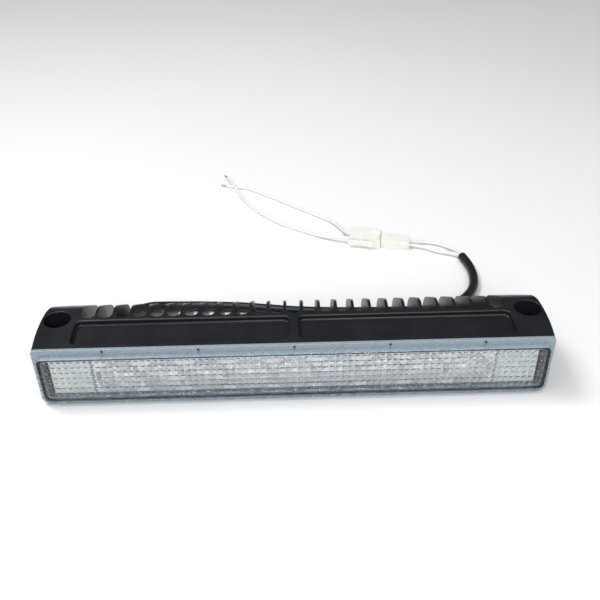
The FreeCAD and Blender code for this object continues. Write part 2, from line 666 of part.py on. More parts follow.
def make_reflector():
    half = "(cup_pitch * cup_count / 2 + reflector_wall)"
    front = f"{FRONT} + reflector_gap"
    back = f"{BOARD_FACE} - 0.1"
    body = block("reflector_block",
                 (f"-{half}", front, "light_axis - reflector_high / 2"),
                 (half, back, "light_axis + reflector_high / 2"))
    depth = f"({back}) - ({front})"
    tools = [
        cone(f"cup_{index}", (across, front, "light_axis"), "y", depth, "cup_mouth_r", "cup_throat_r")
        for index, across in enumerate(cup_places())
    ]
    for index, across in enumerate(("-link_x", "-screw_near", "screw_near")):
        tools.append(rod(f"relief_{index}", (across, f"{back} - 3", "light_axis"), "y", "3.1", "3.3"))
    return node("reflector", cut("reflector", body, tools))


def make_end_panels():
    """Two white plates beside the reflector, each on two posts."""
    front = f"{FRONT} + panel_inset"
    panels = []
    for side, left, right, post in (
        ("left", "-panel_outer", "-panel_inner", "-panel_outer + 4.5"),
        ("right", "panel_inner", "panel_outer", "panel_outer - 4.5"),
    ):
        plate = block(f"{side}_plate", (left, front, "cavity_low + panel_margin"),
                      (right, f"{front} + panel_thick", "cavity_high - panel_margin"))
        rounded = doc.addObject("Part::Fillet", f"{side}_rounded")
        rounded.Base = plate
        doc.recompute()
        corner = value("panel_round")
        rounded.Edges = [
            (index, corner, corner) for index, edge in enumerate(plate.Shape.Edges, start=1)
            if near(abs(edge.CenterOfMass.x), "panel_outer")
            and near(edge.CenterOfMass.y, f"{front} + panel_thick / 2")
        ]
        posts = [
            rod(f"{side}_{name}_post", (post, f"{front} + panel_thick / 2", height), "y",
                f"({SEAT}) - ({front}) - panel_thick / 2", "2")
            for name, height in (("low", "light_axis - 9"), ("high", "light_axis + 9"))
        ]
        panels.append(join(f"{side}_panel", [rounded] + posts))
    return node("end_panels", cluster("end_panels", panels))


def make_led_board():
    front = BOARD_FACE
    plate = block("board_plate", ("-board_half", front, "light_axis - board_high / 2"),
                  ("board_half", f"{front} + board_thick", "light_axis + board_high / 2"))
    holes = [
        rod(f"board_hole_{index}", (across, f"{front} - 1", up), "y", "board_thick + 2", "screw_r + 0.35")
        for index, (across, up) in enumerate(BOARD_SCREWS)
    ]
    holes += [
        rod(f"board_pin_hole_{index}", ("-link_x", f"{front} - 1", up), "y", "board_thick + 2", "0.5")
        for index, up in enumerate(LINK_HEIGHTS)
    ]
    return node("led_board", cut("led_board", plate, holes))


def make_thermal_pad():
    front = f"{SEAT} - pad_thick"
    sheet_block = block("pad_sheet", ("-board_half", front, "light_axis - board_high / 2"),
                        ("board_half", SEAT, "light_axis + board_high / 2"))
    holes = [
        rod(f"pad_hole_{index}", (across, f"{front} - 1", up), "y", "pad_thick + 2", "2")
        for index, (across, up) in enumerate(BOARD_SCREWS + [("-link_x", "light_axis")])
    ]
    return node("thermal_pad", cut("thermal_pad", sheet_block, holes))


def make_leds():
    packages, domes = [], []
    for index, across in enumerate(cup_places()):
        face = f"{BOARD_FACE} - led_thick"
        packages.append(block(
            f"package_{index}",
            (f"{across} - led_side / 2", face, "light_axis - led_side / 2"),
            (f"{across} + led_side / 2", BOARD_FACE, "light_axis + led_side / 2")))
        ball = doc.addObject("Part::Sphere", f"ball_{index}")
        ball.setExpression("Radius", bound("led_dome_r"))
        place(ball, (across, face, "light_axis"))
        keep = block(f"dome_space_{index}",
                     (f"{across} - 3", f"{face} - 3", "light_axis - 3"),
                     (f"{across} + 3", face, "light_axis + 3"))
        dome = doc.addObject("Part::Common", f"dome_{index}")
        dome.Base, dome.Tool = ball, keep
        domes.append(dome)
    node("led_packages", cluster("led_packages", packages))
    node("led_domes", cluster("led_domes", domes))


def screw(name, across, face, up, length):
    """A pan-head screw that points to +Y, its head on the face."""
    head = rod(f"{name}_head", (across, f"{face} - screw_head", up), "y", "screw_head", "screw_head_r")
    shank = rod(f"{name}_shank", (across, f"{face} - 0.2", up), "y", f"({length}) + 0.2", "screw_r")
    recess = hexagon(f"{name}_recess", (across, f"{face} - screw_head - 0.1", up), "y", "1.3", "2")
    return cut(name, join(f"{name}_whole", [head, shank]), [recess])


def make_board_screws():
    screws = [
        screw(f"board_screw_{index}", across, BOARD_FACE, up, "board_thick + pad_thick + screw_bite - 0.3")
        for index, (across, up) in enumerate(BOARD_SCREWS)
    ]
    node("board_screws", cluster("board_screws", screws))


# The driver, which holds the current through the light sources steady.

LINK_HEIGHTS = ["light_axis - link_pitch / 2", "light_axis + link_pitch / 2"]
CORE_HEIGHTS = ["gland_z - 1.1", "gland_z + 1.1"]


def make_driver():
    plate = block("driver_plate", ("-driver_left", DRIVER_FACE, "driver_low"),
                  ("-driver_right", f"{DRIVER_FACE} + board_thick", "driver_high"))
    holes = [
        rod(f"driver_hole_{index}", (across, f"{DRIVER_FACE} - 1", up), "y", "board_thick + 2",
            "screw_r + 0.1")
        for index, (across, up) in enumerate(DRIVER_SCREWS)
    ]
    node("driver_board", cut("driver_board", plate, holes))
    screws = [
        screw(f"driver_screw_{index}", across, DRIVER_FACE, up, "board_thick + driver_stand + 1.2")
        for index, (across, up) in enumerate(DRIVER_SCREWS)
    ]
    node("driver_screws", cluster("driver_screws", screws))

    core = rod("inductor_core", ("-driver_right - 14", f"{DRIVER_FACE} - 6.5", "light_axis + 2.5"), "y",
               "6.5", "4.5")
    waist = cut("inductor_ring", rod("ring_out", ("-driver_right - 14", f"{DRIVER_FACE} - 5",
                                                  "light_axis + 2.5"), "y", "3.5", "5"),
                [rod("ring_in", ("-driver_right - 14", f"{DRIVER_FACE} - 5.5", "light_axis + 2.5"), "y",
                     "4.5", "3.6")])
    node("driver_inductor", cut("driver_inductor", core, [waist]))
    cans = [
        rod(f"can_{index}", ("-driver_right - 26.5", f"{DRIVER_FACE} - 7", up), "y", "7", "3.15")
        for index, up in enumerate(("light_axis - 4.5", "light_axis + 4.5"))
    ]
    node("driver_capacitors", cluster("driver_capacitors", cans))
    chips = []
    for index, (across, up, wide, high) in enumerate((
        ("-driver_right - 35.5", "light_axis + 5", "5", "4"),
        ("-driver_right - 36", "light_axis - 5", "4", "6"),
        ("-driver_right - 14", "light_axis - 6.5", "6.5", "3.5"),
    )):
        chips.append(block(f"chip_{index}", (f"{across} - {wide} / 2", f"{DRIVER_FACE} - 1.6",
                                             f"{up} - {high} / 2"),
                           (f"{across} + {wide} / 2", DRIVER_FACE, f"{up} + {high} / 2")))
    node("driver_chips", cluster("driver_chips", chips))
    pins = [
        rod(f"link_pin_{index}", ("-link_x", f"{BOARD_FACE} - 1", up), "y",
            f"({DRIVER_FACE}) - ({BOARD_FACE}) + 1", "0.5")
        for index, up in enumerate(LINK_HEIGHTS)
    ]
    node("link_pins", cluster("link_pins", pins))


# The cable gland.

def make_gland():
    centre = lambda along: ("-gland_x", along, "gland_z")
    thread = rod("gland_thread", centre(POCKET_FLOOR), "y", f"({BOSS_FACE}) - ({POCKET_FLOOR}) + 0.2",
                 "gland_thread_r")
    flange = hexagon("gland_flange", centre(f"{BOSS_FACE} + 1"), "y", "gland_hex", "gland_flat")
    neck = rod("gland_neck", centre(BOSS_FACE), "y", "1.2", "gland_thread_r")
    stem = rod("gland_stem", centre(f"{BOSS_FACE} + gland_hex"), "y", "10", "gland_thread_r - 1")
    bore = rod("gland_through", centre(f"{POCKET_FLOOR} - 1"), "y", "30", "cable_r + 0.1")
    cup = rod("gland_seal_cup", centre(f"{BOSS_FACE} + gland_hex + 1"), "y", "20", "cable_r + 1")
    node("gland_body", cut("gland_body", join("gland_solid", [thread, neck, flange, stem]), [bore, cup]))

    washer = rod("washer_disc", centre(BOSS_FACE), "y", "1", "gland_thread_r + 1.4")
    washer_hole = rod("washer_hole", centre(f"{BOSS_FACE} - 1"), "y", "3", "gland_thread_r")
    node("gland_washer", cut("gland_washer", washer, [washer_hole]))

    sleeve = rod("sleeve", centre(f"{BOSS_FACE} + gland_hex + 1"), "y", "9", "cable_r + 1")
    sleeve_hole = rod("sleeve_hole", centre(BOSS_FACE), "y", "30", "cable_r")
    node("gland_seal", cut("gland_seal", sleeve, [sleeve_hole]))

    grip = hexagon("nut_grip", centre(NUT_FACE), "y", "6.6", "gland_flat - 1")
    dome = cone("nut_dome", centre(f"{NUT_FACE} + 6.4"), "y", "gland_nut - 6.4", "gland_flat / 2 - 0.6",
                "cable_r + 1.6")
    inside = rod("nut_inside", centre(f"{NUT_FACE} - 1"), "y",
                 f"({BOSS_FACE}) - ({NUT_FACE}) + gland_hex + 11", "gland_thread_r - 1")
    mouth = rod("nut_mouth", centre(f"{NUT_FACE} - 1"), "y", "30", "cable_r + 0.1")
    node("gland_nut", cut("gland_nut", join("nut_solid", [grip, dome]), [inside, mouth]))


# The cable and the wires.

def rounded_path(points):
    """Straight runs joined by tangent arcs, the arcs' radii and the path's length."""
    vectors = [FreeCAD.Vector(*point) for point in points]
    edges, radii = [], []
    start = vectors[0]
    for before, corner, after in zip(vectors, vectors[1:], vectors[2:]):
        into, out = corner - before, after - corner
        half_turn = into.getAngle(out) / 2
        reach = 0.45 * min(into.Length, out.Length)
        first = corner - into.normalize() * reach
        last = corner + out.normalize() * reach
        radius = reach / math.tan(half_turn)
        inward = (first + last) * 0.5 - corner
        sagitta = radius / math.cos(half_turn) - radius
        middle = corner + inward.normalize() * sagitta
        edges.append(Part.LineSegment(start, first).toShape())
        edges.append(Part.Arc(first, middle, last).toShape())
        radii.append(radius)
        start = last
    edges.append(Part.LineSegment(start, vectors[-1]).toShape())
    return Part.Wire(edges), radii, sum(edge.Length for edge in edges)


def tube(name, points, radius):
    path, radii, length = rounded_path(points)
    start = FreeCAD.Vector(*points[0])
    circle = Part.makeCircle(radius, start, FreeCAD.Vector(*points[1]) - start)
    solid = path.makePipeShell([Part.Wire([circle])], True, False)
    expected = math.pi * radius ** 2 * length
    print(f"{name}: {length:.1f} mm long, smallest radius {min(radii):.1f} mm,",
          f"volume {solid.Volume / expected:.4f} of section times length")
    item = doc.addObject("Part::Feature", name)
    item.Shape = solid
    return item


def tubes(name, routes, radius):
    return node(name, cluster(name, [
        tube(f"{name}_{index}", route, radius) for index, route in enumerate(routes)]))


def wire_tip(name, route):
    """The bare end that goes on from the last run of a wire."""
    before, end = (FreeCAD.Vector(*point) for point in route[-2:])
    item = doc.addObject("Part::Cylinder", name)
    item.setExpression("Radius", bound("tip_r"))
    item.setExpression("Height", bound("tip_length"))
    turn = FreeCAD.Rotation(FreeCAD.Vector(0, 0, 1), end - before)
    item.Placement = FreeCAD.Placement(end, turn)
    return item


def make_cords():
    inner_end = value(f"{DRIVER_FACE} + 1")
    gland = (-value("gland_x"), value("gland_z"))
    node("cable_tail", rod("cable_tail", ("-gland_x", f"{DRIVER_FACE} + 1", "gland_z"), "y",
                           f"({NUT_END}) - ({DRIVER_FACE}) - 1", "cable_r"))
    pad_x = -value("driver_left") + 1.6
    pad_y = value(DRIVER_FACE)
    cores = []
    for up, pad_z in zip(CORE_HEIGHTS, (value("light_axis - 2.6"), value("light_axis + 0.6"))):
        cores.append([
            (gland[0], inner_end, value(up)), (gland[0], inner_end - 3.6, value(up)),
            (gland[0] + 5.0, inner_end - 6.0, value(up) + 1.6),
            (pad_x, pad_y - 4.4, pad_z), (pad_x, pad_y - 0.01, pad_z),
        ])
    tubes("supply_cores", cores, value("core_r"))
    node("cable_jacket", tube("cable_jacket", CABLE_ROUTE, value("cable_r")))
    node("lead_wire_far", tube("lead_wire_far", LEAD_FAR_ROUTE, value("wire_r")))
    node("lead_wire_near", tube("lead_wire_near", LEAD_NEAR_ROUTE, value("wire_r")))
    node("tail_wire_near", tube("tail_wire_near", TAIL_NEAR_ROUTE, value("wire_r")))
    node("tail_wire_far", tube("tail_wire_far", TAIL_FAR_ROUTE, value("wire_r")))
    node("wire_tips", cluster("wire_tips", [
        wire_tip("tip_near", TAIL_NEAR_ROUTE), wire_tip("tip_far", TAIL_FAR_ROUTE)]))


# The connector, built along its own axis: +X from the cable end to the far end,
# +Y to the side of the latch, then turned into place.

def connector_node(name, item):
    item.setExpression("Placement.Base.x", bound("plug_x"))
    item.setExpression("Placement.Base.y", bound("plug_y"))
    turn = FreeCAD.Rotation(FreeCAD.Vector(0, 0, 1), value("plug_turn"))
    item.Placement = FreeCAD.Placement(item.Placement.Base, turn)
    return node(name, item)


def contact_sides():
    return [("near", "contact_pitch / 2"), ("far", "-contact_pitch / 2")]


def make_plug():
    shell = block("plug_shell", ("0", "-plug_half", "0"), ("plug_length", "plug_half", "plug_high"))
    nose = block("plug_nose", ("plug_length - 1", "-nose_half", "nose_low"),
                 ("plug_length + nose_length", "nose_half", "nose_high"))
    grips = [
        block(f"plug_grip_{index}", (f"{2.5 + 3 * index}", "-plug_half - 0.5", "1.2"),
              (f"{3.7 + 3 * index}", "plug_half + 0.5", "plug_high - 1.2"))
        for index in range(3)
    ]
    bores = [
        rod(f"plug_bore_{side}", ("0", across, "contact_z"), "x", "plug_length + nose_length + 1",
            "terminal_r")
        for side, across in contact_sides()
    ]
    bores += [
        rod(f"plug_entry_{side}", ("-1", across, "contact_z"), "x", "entry_depth + 1", "plug_entry_r")
        for side, across in contact_sides()
    ]
    connector_node("plug_housing", cut("plug_housing", join("plug_solid", [shell, nose] + grips), bores))
    terminals = [
        cut(f"plug_terminal_{side}",
            rod(f"terminal_{side}", ("entry_depth", across, "contact_z"), "x",
                "plug_length + nose_length - 1 - entry_depth", "terminal_r"),
            [rod(f"terminal_bore_{side}", ("plug_length - 6", across, "contact_z"), "x", "40",
                 "terminal_bore")])
        for side, across in contact_sides()
    ]
    connector_node("plug_terminals", cluster("plug_terminals", terminals))


def make_socket():
    low = "plug_length + fit_gap"
    shell = block("socket_shell", (low, "-socket_half", "0"), ("socket_end", "socket_half", "socket_high"))
    fillet = doc.addObject("Part::Fillet", "socket_rounded")
    fillet.Base = shell
    doc.recompute()
    rounded = []
    for index, edge in enumerate(shell.Shape.Edges, start=1):
        middle = edge.CenterOfMass
        upright = near(middle.z, "socket_high / 2")
        if near(middle.x, "socket_end") and upright:
            rounded.append((index, value("socket_end_round"), value("socket_end_round")))
        if near(middle.x, low) and upright:
            rounded.append((index, value("socket_side_round"), value("socket_side_round")))
        if near(middle.x, low) and near(middle.z, "socket_high"):
            rounded.append((index, value("socket_brow_round"), value("socket_brow_round")))
    fillet.Edges = rounded
    key = block("socket_key", ("plug_length + 1.5", "-socket_half + 0.5", "socket_high - 1"),
                ("plug_length + 7", "-socket_half + 3", "socket_high + 1.2"))
    web = block("latch_web", ("latch_pivot - 1", "socket_half - 1", "latch_low"),
                ("latch_pivot + 1", "socket_half + latch_gap / 2 - hinge_gap", "latch_high"))
    seat = rod("latch_seat", ("latch_pivot", "socket_half + latch_gap / 2", "latch_low"), "z",
               "latch_high - latch_low", "hinge_r + hinge_gap")
    mouth = block("socket_mouth", ("plug_length - 5", "-nose_half - fit_gap", "nose_low - fit_gap"),
                  ("plug_length + nose_length + 1", "nose_half + fit_gap", "nose_high + fit_gap"))
    bores = [
        rod(f"socket_bore_{side}", ("plug_length + nose_length", across, "contact_z"), "x",
            "6.5", "pin_r")
        for side, across in contact_sides()
    ]
    bores += [
        rod(f"socket_entry_{side}", ("socket_end - entry_depth", across, "tail_z"), "x",
            "entry_depth + 1", "socket_entry_r")
        for side, across in (("near", "tail_pitch / 2"), ("far", "-tail_pitch / 2"))
    ]
    connector_node("socket_housing", cut(
        "socket_housing", join("socket_solid", [fillet, key, web]), [mouth, seat] + bores))
    pins = [
        rod(f"socket_pin_{side}", ("plug_length + nose_length - 8", across, "contact_z"), "x",
            "14.5", "pin_r")
        for side, across in contact_sides()
    ]
    connector_node("socket_pins", cluster("socket_pins", pins))


def make_latch():
    inner, outer = "socket_half + latch_gap", "socket_half + latch_gap + latch_thick"
    bar = block("latch_bar", ("latch_start", inner, "latch_low"), ("latch_end", outer, "latch_high"))
    foot = block("latch_foot", ("latch_pivot - hinge_r", "socket_half + latch_gap / 2", "latch_low"),
                 ("latch_pivot + hinge_r", f"{inner} + 0.5", "latch_high"))
    axle = rod("latch_axle", ("latch_pivot", "socket_half + latch_gap / 2", "latch_low"), "z",
               "latch_high - latch_low", "hinge_r")
    nose = doc.addObject("Part::Wedge", "latch_nose")
    for side, expression in (
        ("Xmin", "latch_start"), ("Xmax", "latch_start + 6"), ("X2min", "latch_start"),
        ("X2max", "latch_start + 2.5"), ("Ymin", f"{outer} - 0.2"), ("Ymax", f"{outer} + latch_hook"),
        ("Zmin", "latch_low"), ("Zmax", "latch_high"), ("Z2min", "latch_low"), ("Z2max", "latch_high"),
    ):
        nose.setExpression(side, bound(expression))
    thumb = block("latch_thumb", ("latch_end - 1.4", f"{outer} - 0.2", "latch_low"),
                  ("latch_end", f"{outer} + 0.9", "latch_high"))
    connector_node("latch_lever", join("latch_lever", [bar, foot, axle, nose, thumb]))


make_housing()
make_lens_cover()
make_lens_seal()
make_reflector()
make_end_panels()
make_led_board()
make_thermal_pad()
make_leds()
make_board_screws()
make_driver()
make_gland()
make_cords()
make_plug()
make_socket()
make_latch()
doc.recompute()

for item in doc.Objects:
    if "Invalid" in item.State or "Error" in item.State:
        raise ValueError(f"{item.Name} failed: {item.getStatusString()}")
for name, item in NODES.items():
    if item.Shape.isNull() or not item.Shape.isValid() or not item.Shape.Solids:
        raise ValueError(f"{name} has no valid solid")

os.makedirs("parts", exist_ok=True)
for name, item in NODES.items():
    item.Shape.exportStep(f"parts/{name}.step")
print(len(NODES), "nodes")
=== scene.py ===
import json
import math

import bmesh
import bpy
from mathutils import Matrix, Vector


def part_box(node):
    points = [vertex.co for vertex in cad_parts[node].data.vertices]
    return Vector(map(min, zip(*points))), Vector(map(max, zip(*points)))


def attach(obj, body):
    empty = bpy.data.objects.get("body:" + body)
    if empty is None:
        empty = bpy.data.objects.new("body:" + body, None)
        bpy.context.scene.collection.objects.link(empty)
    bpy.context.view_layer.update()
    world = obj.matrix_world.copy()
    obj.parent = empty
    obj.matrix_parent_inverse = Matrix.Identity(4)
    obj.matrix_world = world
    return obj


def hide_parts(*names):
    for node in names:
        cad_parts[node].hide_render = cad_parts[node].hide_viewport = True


# LED light bar on a pale floor, seen from the front and above.
# Metres; +X along the bar, +Y from the lens to the fins, +Z up.

MM = 0.001

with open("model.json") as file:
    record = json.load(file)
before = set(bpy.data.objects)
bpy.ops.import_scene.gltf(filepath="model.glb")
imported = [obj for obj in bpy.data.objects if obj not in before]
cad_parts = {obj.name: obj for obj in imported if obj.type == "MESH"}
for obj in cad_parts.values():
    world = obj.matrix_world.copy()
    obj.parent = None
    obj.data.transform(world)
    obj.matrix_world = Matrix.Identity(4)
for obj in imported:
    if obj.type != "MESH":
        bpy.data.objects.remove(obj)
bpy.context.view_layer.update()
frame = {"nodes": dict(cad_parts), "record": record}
nodes = frame["nodes"]


# Material helpers

def shader_nodes(name):
    material = bpy.data.materials.new(name)
    material.use_nodes = True
    tree = material.node_tree
    shader = next(item for item in tree.nodes if item.type == "BSDF_PRINCIPLED")
    return material, tree, shader


def position(tree, scale=(1.0, 1.0, 1.0)):
    """Object coordinates, stretched along each axis."""
    source = tree.nodes.new("ShaderNodeTexCoord")
    mapping = tree.nodes.new("ShaderNodeMapping")
    mapping.inputs["Scale"].default_value = scale
    tree.links.new(source.outputs["Object"], mapping.inputs["Vector"])
    return mapping.outputs["Vector"]


def noise(tree, where, scale, detail=3.0, rough=0.55):
    texture = tree.nodes.new("ShaderNodeTexNoise")
    texture.inputs["Scale"].default_value = scale
    texture.inputs["Detail"].default_value = detail
    texture.inputs["Roughness"].default_value = rough
    tree.links.new(where, texture.inputs["Vector"])
    return texture.outputs["Fac"]


def ramp(tree, factor, stops):
    """A colour ramp whose stops are (position, colour)."""
    item = tree.nodes.new("ShaderNodeValToRGB")
    elements = item.color_ramp.elements
    while len(elements) < len(stops):
        elements.new(0.5)
    for element, (place, colour) in zip(elements, stops):
        element.position = place
        element.color = (*colour, 1.0)
    tree.links.new(factor, item.inputs["Fac"])
    return item.outputs["Color"]


def span(tree, factor, low, high):
    """A factor moved to the range low to high."""
    item = tree.nodes.new("ShaderNodeMapRange")
    item.inputs["From Min"].default_value = 0.3
    item.inputs["From Max"].default_value = 0.7
    item.inputs["To Min"].default_value = low
    item.inputs["To Max"].default_value = high
    tree.links.new(factor, item.inputs["Value"])
    return item.outputs["Result"]


def bump(tree, shader, height, strength, distance):
    item = tree.nodes.new("ShaderNodeBump")
    item.inputs["Strength"].default_value = strength
    item.inputs["Distance"].default_value = distance
    tree.links.new(height, item.inputs["Height"])
    tree.links.new(item.outputs["Normal"], shader.inputs["Normal"])


def solid_material(name, dark, light, rough, tone_scale=60.0, grain=900.0, grain_depth=0.00003,
                   strength=0.25, metallic=0.0, stretch=(1.0, 1.0, 1.0)):
    """Two close tones, a varied roughness and a fine grain."""
    material, tree, shader = shader_nodes(name)
    where = position(tree, stretch)
    tone = noise(tree, where, tone_scale)
    fine = noise(tree, where, grain, 2.0)
    tree.links.new(ramp(tree, tone, [(0.3, dark), (0.7, light)]), shader.inputs["Base Color"])
    tree.links.new(span(tree, tone, *rough), shader.inputs["Roughness"])
    bump(tree, shader, fine, strength, grain_depth)
    shader.inputs["Metallic"].default_value = metallic
    return material, shader


# Materials, by slot of the record

def housing_paint():
    """Semi-gloss black powder coat with a slight orange peel."""
    material, shader = solid_material(
        "housing_paint", (0.0085, 0.0100, 0.0125), (0.0130, 0.0150, 0.0180), (0.30, 0.38),
        tone_scale=45.0, grain=650.0, grain_depth=0.00006, strength=0.30)
    shader.inputs["Specular IOR Level"].default_value = 0.42
    return material


def clear_lens():
    """Clear polycarbonate with the faint streaks of the moulding."""
    material, tree, shader = shader_nodes("clear_lens")
    where = position(tree)
    streak = noise(tree, where, 90.0, 2.0)
    tree.links.new(ramp(tree, streak, [(0.3, (0.93, 0.965, 0.99)), (0.7, (0.97, 0.99, 1.0))]),
                   shader.inputs["Base Color"])
    tree.links.new(span(tree, streak, 0.015, 0.05), shader.inputs["Roughness"])
    shader.inputs["Transmission Weight"].default_value = 1.0
    shader.inputs["IOR"].default_value = 1.5
    return material


def frosted_rim():
    """The lens flange: the same plastic with a finely etched, milky surface."""
    material, tree, shader = shader_nodes("frosted_rim")
    where = position(tree, (0.4, 1.0, 1.0))
    cloud = noise(tree, where, 420.0, 2.0)
    fine = noise(tree, where, 1500.0, 1.0)
    tree.links.new(ramp(tree, cloud, [(0.3, (0.33, 0.405, 0.47)), (0.7, (0.35, 0.425, 0.49))]),
                   shader.inputs["Base Color"])
    tree.links.new(span(tree, cloud, 0.24, 0.30), shader.inputs["Roughness"])
    bump(tree, shader, fine, 0.15, 0.00003)
    shader.inputs["Transmission Weight"].default_value = 0.30
    shader.inputs["IOR"].default_value = 1.5
    return material


def let_light_in(shader, weight, radius):
    shader.inputs["Subsurface Weight"].default_value = weight
    shader.inputs["Subsurface Radius"].default_value = radius
    shader.inputs["Subsurface Scale"].default_value = 1.0


def nylon_white():
    """Natural nylon: warm white, slightly translucent, softly glossy."""
    material, shader = solid_material(
        "connector_white", (0.84, 0.82, 0.79), (0.88, 0.86, 0.83), (0.30, 0.42),
        tone_scale=140.0, grain=1400.0, grain_depth=0.00002, strength=0.2)
    let_light_in(shader, 0.25, (1.6 * MM, 1.3 * MM, 1.0 * MM))
    return material


def wire_white():
    """Soft white insulation."""
    material, shader = solid_material(
        "wire_white", (0.78, 0.755, 0.735), (0.84, 0.82, 0.80), (0.32, 0.45),
        tone_scale=180.0, grain=1800.0, grain_depth=0.00002, strength=0.15)
    let_light_in(shader, 0.15, (1.0 * MM, 0.8 * MM, 0.6 * MM))
    return material


def simple(name, dark, light, rough, **options):
    """A material with nothing beyond what solid_material gives."""
    return solid_material(name, dark, light, rough, **options)[0]


MATERIALS = {
    "housing_paint": housing_paint(),
    "clear_lens": clear_lens(),
    "frosted_rim": frosted_rim(),
    "reflector_metal": simple("reflector_metal", (0.78, 0.785, 0.795), (0.86, 0.865, 0.87),
                              (0.40, 0.50), tone_scale=120.0, grain=420.0, grain_depth=0.00002,
                              strength=0.2, metallic=1.0),
    "connector_white": nylon_white(),
    "wire_white": wire_white(),
    "cable_black": simple("cable_black", (0.006, 0.006, 0.007), (0.012, 0.012, 0.014), (0.36, 0.50),
                          tone_scale=80.0, grain=1100.0, grain_depth=0.00004, strength=0.3),
    "black_rubber": simple("black_rubber", (0.010, 0.010, 0.010), (0.020, 0.020, 0.020), (0.60, 0.80)),
    "white_plastic": simple("white_plastic", (0.84, 0.87, 0.84), (0.90, 0.92, 0.895), (0.45, 0.60),
                            strength=0.35, grain_depth=0.00005),
    "board_white": simple("board_white", (0.76, 0.77, 0.76), (0.84, 0.85, 0.84), (0.30, 0.42)),
    "pad_grey": simple("pad_grey", (0.15, 0.155, 0.165), (0.20, 0.21, 0.22), (0.70, 0.85)),
    "led_ceramic": simple("led_ceramic", (0.80, 0.80, 0.76), (0.87, 0.87, 0.84), (0.35, 0.50)),
    "led_phosphor": simple("led_phosphor", (0.70, 0.66, 0.46), (0.78, 0.75, 0.58), (0.12, 0.20)),
    "steel": simple("steel", (0.50, 0.51, 0.53), (0.62, 0.63, 0.65), (0.25, 0.40), metallic=1.0,
                    stretch=(1.0, 0.2, 1.0)),
    "board_green": simple("board_green", (0.006, 0.055, 0.022), (0.012, 0.085, 0.035), (0.25, 0.40)),
    "ferrite": simple("ferrite", (0.020, 0.020, 0.022), (0.035, 0.035, 0.038), (0.45, 0.60)),
    "can_aluminium": simple("can_aluminium", (0.50, 0.51, 0.55), (0.60, 0.61, 0.65), (0.25, 0.38),
                            metallic=1.0),
    "chip_black": simple("chip_black", (0.010, 0.010, 0.010), (0.018, 0.018, 0.018), (0.40, 0.60)),
    "brass_pins": simple("brass_pins", (0.60, 0.46, 0.18), (0.72, 0.57, 0.26), (0.20, 0.35), metallic=1.0),
    "gland_nylon": simple("gland_nylon", (0.008, 0.008, 0.009), (0.016, 0.016, 0.018), (0.40, 0.55),
                          strength=0.4),
    "tinned": simple("tinned", (0.62, 0.61, 0.58), (0.76, 0.75, 0.72), (0.22, 0.38), metallic=1.0),
}

for part in frame["record"]["subparts"]:
    target = nodes[part["node"]]
    target.data.materials.clear()
    target.data.materials.append(MATERIALS[part["material_slot"]])


# Rounded edges of the moulded and cast parts

WELD_DISTANCE = 0.002 * MM
SHARP_ANGLE = math.radians(32.0)


def soften(name, width, segments=2):
    item = nodes[name]
    weld = item.modifiers.new("weld", "WELD")
    weld.merge_threshold = WELD_DISTANCE
    edge = item.modifiers.new("edge", "BEVEL")
    edge.width = width
    edge.segments = segments
    edge.limit_method = "ANGLE"
    edge.angle_limit = SHARP_ANGLE
    edge.harden_normals = False
    normals = item.modifiers.new("normals", "WEIGHTED_NORMAL")
    normals.keep_sharp = False


soften("housing", 0.35 * MM, 3)
soften("plug_housing", 0.35 * MM, 3)
soften("socket_housing", 0.45 * MM, 3)
soften("latch_lever", 0.25 * MM)
soften("gland_nut", 0.30 * MM)
soften("gland_body", 0.25 * MM)
soften("end_panels", 0.20 * MM)


# Mesh helpers

def finish_mesh(name, mesh, body, materials):
    for face in mesh.faces:
        face.smooth = True
    data = bpy.data.meshes.new(name)
    mesh.to_mesh(data)
    mesh.free()
    for key in materials:
        data.materials.append(MATERIALS[key])
    item = bpy.data.objects.new(name, data)
    bpy.context.scene.collection.objects.link(item)
    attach(item, body)
    return item


def sharpen(mesh, degrees):
    limit = math.radians(degrees)
    for edge in mesh.edges:
        if len(edge.link_faces) != 2 or edge.calc_face_angle(0.0) > limit:
            edge.smooth = False


# The lens: a tray with a flange, and a grid of small pillows on the inner face of its window.

# An outline is its half width, its foot and its top. A pair of radii is for the upper and lower corners.

LENS_LOW, LENS_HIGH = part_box("lens_cover")
FRONT_Y = LENS_HIGH[1]
WINDOW_Y = LENS_LOW[1]
FLANGE_Y = FRONT_Y - 2.0 * MM
INNER_Y = WINDOW_Y + 2.0 * MM
PILLOW_WIDE, PILLOW_HIGH = 3.65 * MM, 3.85 * MM
PILLOW_COLUMNS, PILLOW_ROWS, PILLOW_STEPS = 79, 7, 4
PILLOW_DEPTH = 0.75 * MM
WINDOW = (147.6 * MM, 4.2 * MM, 36.15 * MM)
WINDOW_ROUND = 3.5 * MM
HOLLOW = (145.6 * MM, 6.2 * MM, 34.15 * MM)
HOLLOW_ROUNDS = (2.5 * MM, 2.5 * MM)
FLANGE = (150.2 * MM, 0.0, 40.6 * MM)
FLANGE_ROUNDS = (2.0 * MM, 5.5 * MM)
FLANGE_EDGE = 0.35 * MM
FLANGE_LIP = 0.1 * MM
WINDOW_FOOT = 0.4 * MM
WINDOW_BROW = 0.7 * MM
BROW_LIP = 0.15 * MM
# The window's side wall and the start of its brow rounding get the light frosted material instead of the
# clear one: a painted highlight line around the window's edge.
PAINTED_HIGHLIGHT_BROW_RINGS = 3
RIB_PITCH = 54.8 * MM
UPPER_RIB = (36.3 * MM, 39.4 * MM)
LOWER_RIB = (1.2 * MM, 4.0 * MM)
PIP_Z = 39.2 * MM


def grid_lines(half, pitch, count):
    """Positions across the hollow, each marked as a crease between pillows or not."""
    lines = [(-half, True)]
    start = -pitch * count / 2
    for step in range(count * PILLOW_STEPS + 1):
        lines.append((start + pitch * step / PILLOW_STEPS, step % PILLOW_STEPS == 0))
    lines.append((half, True))
    return lines


